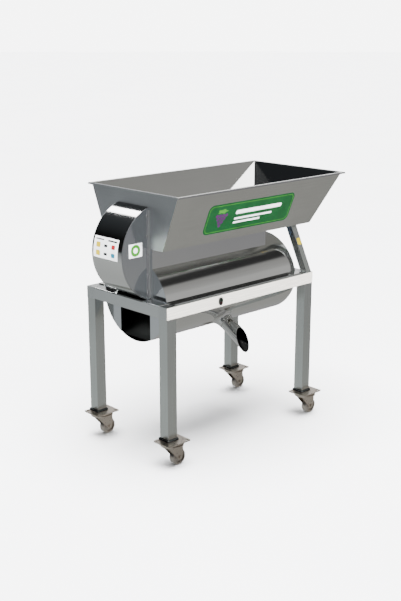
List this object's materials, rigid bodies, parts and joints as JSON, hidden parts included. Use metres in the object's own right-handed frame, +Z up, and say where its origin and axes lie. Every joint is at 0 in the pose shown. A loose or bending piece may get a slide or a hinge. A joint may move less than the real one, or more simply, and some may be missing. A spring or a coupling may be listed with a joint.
{
  "type": "grape crusher destemmer",
  "caption": "Stainless steel crusher destemmer on a wheeled frame: a long open hopper over rollers and a beater, with a must spout, a stem outlet and a rounded drive guard.",
  "frame": {"origin": "on the floor, under the middle of the machine's box", "axes": "+X along the machine from the drive guard to the overhanging end of the hopper, +Y from the spout side to the rear, +Z up"},
  "size_m": [1.356, 0.6804, 1.307],
  "materials": {
    "frame_steel": "satin ground square tube",
    "caster_steel": "dull nickel plate",
    "caster_wheel": "turned, dull",
    "hopper_steel": "fine brushed stainless sheet",
    "polished_steel": "polished stainless sheet",
    "end_plate_steel": "polished stainless plate",
    "inner_steel": "satin stainless",
    "gear_nylon": "machined nylon",
    "roller_rubber": "moulded food rubber",
    "drive_paint": "semi-gloss enamel",
    "screw_steel": "stainless",
    "switch_black": "moulded, fine texture",
    "start_green": "moulded",
    "stop_red": "moulded"
  },
  "bodies": {
    "machine": {"front_rail": "frame_steel", "rear_rail": "frame_steel", "left_rail": "frame_steel", "right_rail": "frame_steel", "leg_front_left": "frame_steel", "leg_front_right": "frame_steel", "leg_rear_left": "frame_steel", "leg_rear_right": "frame_steel", "strut_front": "frame_steel", "strut_rear": "frame_steel", "caster_plates": "caster_steel", "hopper_front": "hopper_steel", "hopper_rear": "hopper_steel", "hopper_left": "hopper_steel", "hopper_right": "hopper_steel", "hopper_floor": "hopper_steel", "throat_front": "hopper_steel", "throat_rear": "hopper_steel", "throat_end": "hopper_steel", "casing_front": "polished_steel", "casing_rear": "polished_steel", "trough": "polished_steel", "must_spout": "polished_steel", "guard_wall": "polished_steel", "casing_left_end": "end_plate_steel", "casing_right_end": "end_plate_steel", "trough_left_end": "end_plate_steel", "trough_right_end": "end_plate_steel", "guard_front_side": "end_plate_steel", "guard_rear_side": "end_plate_steel", "stem_chute": "inner_steel", "grate": "inner_steel", "beater_bearings": "drive_paint", "roller_bearings": "drive_paint", "gearbox": "drive_paint", "motor": "drive_paint", "guard_screws": "screw_steel", "switch_body": "switch_black"},
    "swivel_front_left": {"fork_front_left": "caster_steel", "axle_front_left": "caster_steel"},
    "roller_wheel_front_left": {"wheel_front_left": "caster_wheel"},
    "swivel_front_right": {"fork_front_right": "caster_steel", "axle_front_right": "caster_steel"},
    "roller_wheel_front_right": {"wheel_front_right": "caster_wheel"},
    "swivel_rear_left": {"fork_rear_left": "caster_steel", "axle_rear_left": "caster_steel"},
    "roller_wheel_rear_left": {"wheel_rear_left": "caster_wheel"},
    "swivel_rear_right": {"fork_rear_right": "caster_steel", "axle_rear_right": "caster_steel"},
    "roller_wheel_rear_right": {"wheel_rear_right": "caster_wheel"},
    "beater": {"beater_shaft": "inner_steel", "beater_paddles": "inner_steel", "beater_gear": "gear_nylon"},
    "drive": {"drive_gear": "gear_nylon"},
    "rear_crusher": {"rear_roller": "roller_rubber", "rear_roller_gear": "gear_nylon"},
    "front_crusher": {"front_roller": "roller_rubber", "front_roller_gear": "gear_nylon"},
    "start": {"start_button": "start_green"},
    "stop": {"stop_button": "stop_red"}
  },
  "joints": [
    {"name": "caster_swivel_front_left", "type": "hinge", "parent": "machine", "child": "swivel_front_left", "pos_m": [-0.541, -0.28275, 0.11], "axis": [0, 0, 1], "continuous": true},
    {"name": "caster_roll_front_left", "type": "hinge", "parent": "swivel_front_left", "child": "roller_wheel_front_left", "pos_m": [-0.507, -0.28275, 0.04], "axis": [0, 1, 0], "continuous": true},
    {"name": "caster_swivel_front_right", "type": "hinge", "parent": "machine", "child": "swivel_front_right", "pos_m": [0.439, -0.28275, 0.11], "axis": [0, 0, 1], "continuous": true},
    {"name": "caster_roll_front_right", "type": "hinge", "parent": "swivel_front_right", "child": "roller_wheel_front_right", "pos_m": [0.473, -0.28275, 0.04], "axis": [0, 1, 0], "continuous": true},
    {"name": "caster_swivel_rear_left", "type": "hinge", "parent": "machine", "child": "swivel_rear_left", "pos_m": [-0.541, 0.25725, 0.11], "axis": [0, 0, 1], "continuous": true},
    {"name": "caster_roll_rear_left", "type": "hinge", "parent": "swivel_rear_left", "child": "roller_wheel_rear_left", "pos_m": [-0.507, 0.25725, 0.04], "axis": [0, 1, 0], "continuous": true},
    {"name": "caster_swivel_rear_right", "type": "hinge", "parent": "machine", "child": "swivel_rear_right", "pos_m": [0.439, 0.25725, 0.11], "axis": [0, 0, 1], "continuous": true},
    {"name": "caster_roll_rear_right", "type": "hinge", "parent": "swivel_rear_right", "child": "roller_wheel_rear_right", "pos_m": [0.473, 0.25725, 0.04], "axis": [0, 1, 0], "continuous": true},
    {"name": "beater_turn", "type": "hinge", "parent": "machine", "child": "beater", "pos_m": [-0.051, 0.01125, 0.832], "axis": [1, 0, 0], "continuous": true},
    {"name": "drive_turn", "type": "hinge", "parent": "machine", "child": "drive", "pos_m": [-0.529, 0.05922, 0.89602], "axis": [1, 0, 0], "continuous": true},
    {"name": "rear_roller_turn", "type": "hinge", "parent": "machine", "child": "rear_crusher", "pos_m": [-0.051, 0.06125, 1], "axis": [1, 0, 0], "continuous": true},
    {"name": "front_roller_turn", "type": "hinge", "parent": "machine", "child": "front_crusher", "pos_m": [-0.051, -0.03875, 1], "axis": [1, 0, 0], "continuous": true},
    {"name": "start_press", "type": "slide", "parent": "machine", "child": "start", "axis": [0, 1, 0], "range_m": [0, 0.003], "stiffness_N_per_m": 300, "springref_m": -0.001},
    {"name": "stop_press", "type": "slide", "parent": "machine", "child": "stop", "axis": [0, 1, 0], "range_m": [0, 0.003], "stiffness_N_per_m": 300, "springref_m": -0.001}
  ],
  "couplings": [
    {"joint": "drive_turn", "follows": "beater_turn", "ratio": -0.48148},
    {"joint": "rear_roller_turn", "follows": "beater_turn", "ratio": 0.52},
    {"joint": "front_roller_turn", "follows": "beater_turn", "ratio": -0.52}
  ]
}
